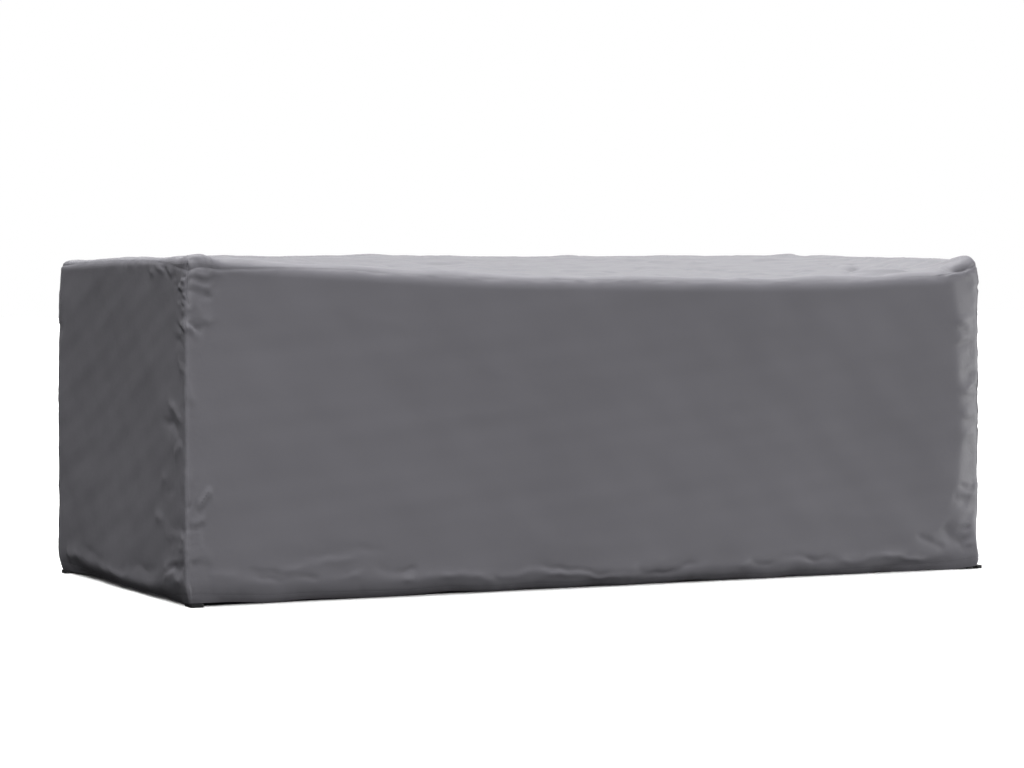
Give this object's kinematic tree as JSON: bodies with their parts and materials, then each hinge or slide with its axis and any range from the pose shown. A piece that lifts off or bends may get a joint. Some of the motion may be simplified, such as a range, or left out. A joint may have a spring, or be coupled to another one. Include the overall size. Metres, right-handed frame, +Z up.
{
  "type": "patio table cover",
  "caption": "Fitted box cover of grey coated cloth for a long garden table, slack along its front top edge, with a curled hem and corner ties.",
  "frame": {"origin": "on the ground under the middle of the cover", "axes": "+X along the long sides, +Y from the front long side to the back one, +Z up"},
  "size_m": [2.432, 1.063, 0.9033],
  "materials": {
    "cover_cloth": "coated polyester, slightly satiny, fine plain weave",
    "strap_webbing": "black woven webbing",
    "buckle_plastic": "black moulded plastic, fine satin"
  },
  "bodies": {
    "root": {"top_panel": "cover_cloth", "front_panel": "cover_cloth", "back_panel": "cover_cloth", "right_end_panel": "cover_cloth", "left_end_panel": "cover_cloth", "strap_near_left": "strap_webbing", "strap_near_right": "strap_webbing", "strap_far_left": "strap_webbing", "strap_far_right": "strap_webbing", "buckle_tongue_near_left": "buckle_plastic", "buckle_tongue_near_right": "buckle_plastic", "buckle_tongue_far_left": "buckle_plastic", "buckle_tongue_far_right": "buckle_plastic", "buckle_body_near_left": "buckle_plastic", "buckle_body_near_right": "buckle_plastic", "buckle_body_far_left": "buckle_plastic", "buckle_body_far_right": "buckle_plastic"}
  },
  "joints": []
}
